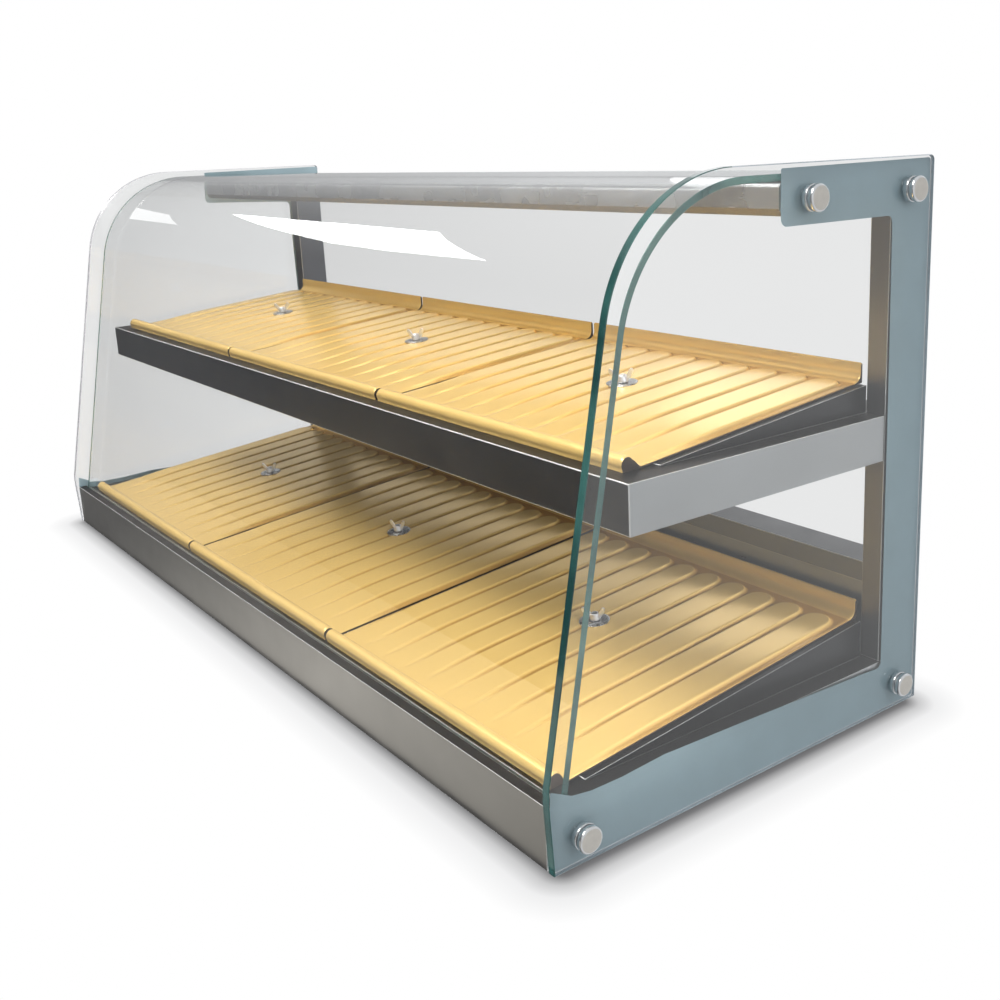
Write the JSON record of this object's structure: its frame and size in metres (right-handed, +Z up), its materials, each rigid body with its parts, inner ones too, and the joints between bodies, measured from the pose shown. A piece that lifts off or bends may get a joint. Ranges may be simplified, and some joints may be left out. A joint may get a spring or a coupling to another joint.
{
  "type": "hot food display case",
  "caption": "Counter-top heated display case with flat side glass, a bent front glass, open back, a mid shelf and sloping ribbed food trays held by wing screws.",
  "frame": {"origin": "on the counter, under the middle of the case", "axes": "+X along the case to the right of someone facing the front glass, +Y from the front glass to the open back, +Z up"},
  "size_m": [1.2226, 0.448, 0.52],
  "materials": {
    "brushed_steel": "fine brushed stainless sheet",
    "satin_steel": "satin stainless sheet",
    "plain_steel": "plain mill-finish steel sheet",
    "foot_rubber": "matte",
    "side_glass": "clear toughened glass with polished edges and a blue-grey enamel band on its inner face",
    "front_glass": "clear bent glass with polished edges",
    "lamp_diffuser": "opal, lit from behind",
    "lamp_strip": "white board with small warm-white lamps",
    "heater_sheath": "heat-darkened tube",
    "tray_gold": "pale gold anodised, satin",
    "bright_steel": "bright plated",
    "standoff_steel": "turned and satin polished",
    "black_plastic": "fine satin",
    "rocker_plastic": "gloss",
    "red_lens": "translucent red"
  },
  "bodies": {
    "case": {"base_housing": "brushed_steel", "header_housing": "brushed_steel", "shelf_frame": "brushed_steel", "bottom_plate": "plain_steel", "shelf_bottom_plate": "plain_steel", "post_left": "satin_steel", "post_right": "satin_steel", "rear_crossbar": "satin_steel", "lower_back_panel": "satin_steel", "lower_deck": "satin_steel", "upper_deck": "satin_steel", "foot_front_left": "foot_rubber", "foot_front_right": "foot_rubber", "foot_rear_left": "foot_rubber", "foot_rear_right": "foot_rubber", "side_glass_left": "side_glass", "side_glass_right": "side_glass", "front_glass": "front_glass", "glass_gasket": "foot_rubber", "lamp_diffuser": "lamp_diffuser", "lamp_strip": "lamp_strip", "heater_lower": "heater_sheath", "heater_upper": "heater_sheath", "standoff_left_base_front": "standoff_steel", "standoff_left_base_rear": "standoff_steel", "standoff_left_header_front": "standoff_steel", "standoff_left_header_rear": "standoff_steel", "standoff_right_base_front": "standoff_steel", "standoff_right_base_rear": "standoff_steel", "standoff_right_header_front": "standoff_steel", "standoff_right_header_rear": "standoff_steel", "thermostat": "plain_steel", "power_switch_frame": "black_plastic", "light_switch_frame": "black_plastic", "indicator_lamp": "red_lens", "power_inlet": "black_plastic"},
    "lower_tray_left": {"tray_lower_left": "tray_gold", "washer_lower_left": "bright_steel"},
    "lower_screw_left": {"wing_screw_lower_left": "bright_steel"},
    "lower_tray_centre": {"tray_lower_centre": "tray_gold", "washer_lower_centre": "bright_steel"},
    "lower_screw_centre": {"wing_screw_lower_centre": "bright_steel"},
    "lower_tray_right": {"tray_lower_right": "tray_gold", "washer_lower_right": "bright_steel"},
    "lower_screw_right": {"wing_screw_lower_right": "bright_steel"},
    "upper_tray_left": {"tray_upper_left": "tray_gold", "washer_upper_left": "bright_steel"},
    "upper_screw_left": {"wing_screw_upper_left": "bright_steel"},
    "upper_tray_centre": {"tray_upper_centre": "tray_gold", "washer_upper_centre": "bright_steel"},
    "upper_screw_centre": {"wing_screw_upper_centre": "bright_steel"},
    "upper_tray_right": {"tray_upper_right": "tray_gold", "washer_upper_right": "bright_steel"},
    "upper_screw_right": {"wing_screw_upper_right": "bright_steel"},
    "knob": {"thermostat_knob": "black_plastic"},
    "power_rocker": {"power_switch_rocker": "rocker_plastic"},
    "light_rocker": {"light_switch_rocker": "rocker_plastic"}
  },
  "joints": [
    {"name": "lower_tray_left_lift", "type": "slide", "parent": "case", "child": "lower_tray_left", "axis": [0, 0, 1], "range_m": [0, 0.014]},
    {"name": "lower_screw_left_turn", "type": "hinge", "parent": "lower_tray_left", "child": "lower_screw_left", "pos_m": [-0.3775, 0.003, 0.07264], "axis": [0, -0.1034, 0.9946], "continuous": true},
    {"name": "lower_tray_centre_lift", "type": "slide", "parent": "case", "child": "lower_tray_centre", "axis": [0, 0, 1], "range_m": [0, 0.014]},
    {"name": "lower_screw_centre_turn", "type": "hinge", "parent": "lower_tray_centre", "child": "lower_screw_centre", "pos_m": [0, 0.003, 0.07264], "axis": [0, -0.1034, 0.9946], "continuous": true},
    {"name": "lower_tray_right_lift", "type": "slide", "parent": "case", "child": "lower_tray_right", "axis": [0, 0, 1], "range_m": [0, 0.014]},
    {"name": "lower_screw_right_turn", "type": "hinge", "parent": "lower_tray_right", "child": "lower_screw_right", "pos_m": [0.3775, 0.003, 0.07264], "axis": [0, -0.1034, 0.9946], "continuous": true},
    {"name": "upper_tray_left_lift", "type": "slide", "parent": "case", "child": "upper_tray_left", "axis": [0, 0, 1], "range_m": [0, 0.08]},
    {"name": "upper_screw_left_turn", "type": "hinge", "parent": "upper_tray_left", "child": "upper_screw_left", "pos_m": [-0.3775, 0.047, 0.30727], "axis": [0, -0.0965, 0.9953], "continuous": true},
    {"name": "upper_tray_centre_lift", "type": "slide", "parent": "case", "child": "upper_tray_centre", "axis": [0, 0, 1], "range_m": [0, 0.08]},
    {"name": "upper_screw_centre_turn", "type": "hinge", "parent": "upper_tray_centre", "child": "upper_screw_centre", "pos_m": [0, 0.047, 0.30727], "axis": [0, -0.0965, 0.9953], "continuous": true},
    {"name": "upper_tray_right_lift", "type": "slide", "parent": "case", "child": "upper_tray_right", "axis": [0, 0, 1], "range_m": [0, 0.08]},
    {"name": "upper_screw_right_turn", "type": "hinge", "parent": "upper_tray_right", "child": "upper_screw_right", "pos_m": [0.3775, 0.047, 0.30727], "axis": [0, -0.0965, 0.9953], "continuous": true},
    {"name": "thermostat_turn", "type": "hinge", "parent": "case", "child": "knob", "pos_m": [-0.43, 0.206, 0.028], "axis": [0, -1, 0], "range_deg": [0, 270]},
    {"name": "power_rocker_tip", "type": "hinge", "parent": "case", "child": "power_rocker", "pos_m": [-0.372, 0.206, 0.028], "axis": [0, 0, 1], "range_deg": [0, 18]},
    {"name": "light_rocker_tip", "type": "hinge", "parent": "case", "child": "light_rocker", "pos_m": [-0.332, 0.206, 0.028], "axis": [0, 0, 1], "range_deg": [0, 18]}
  ]
}
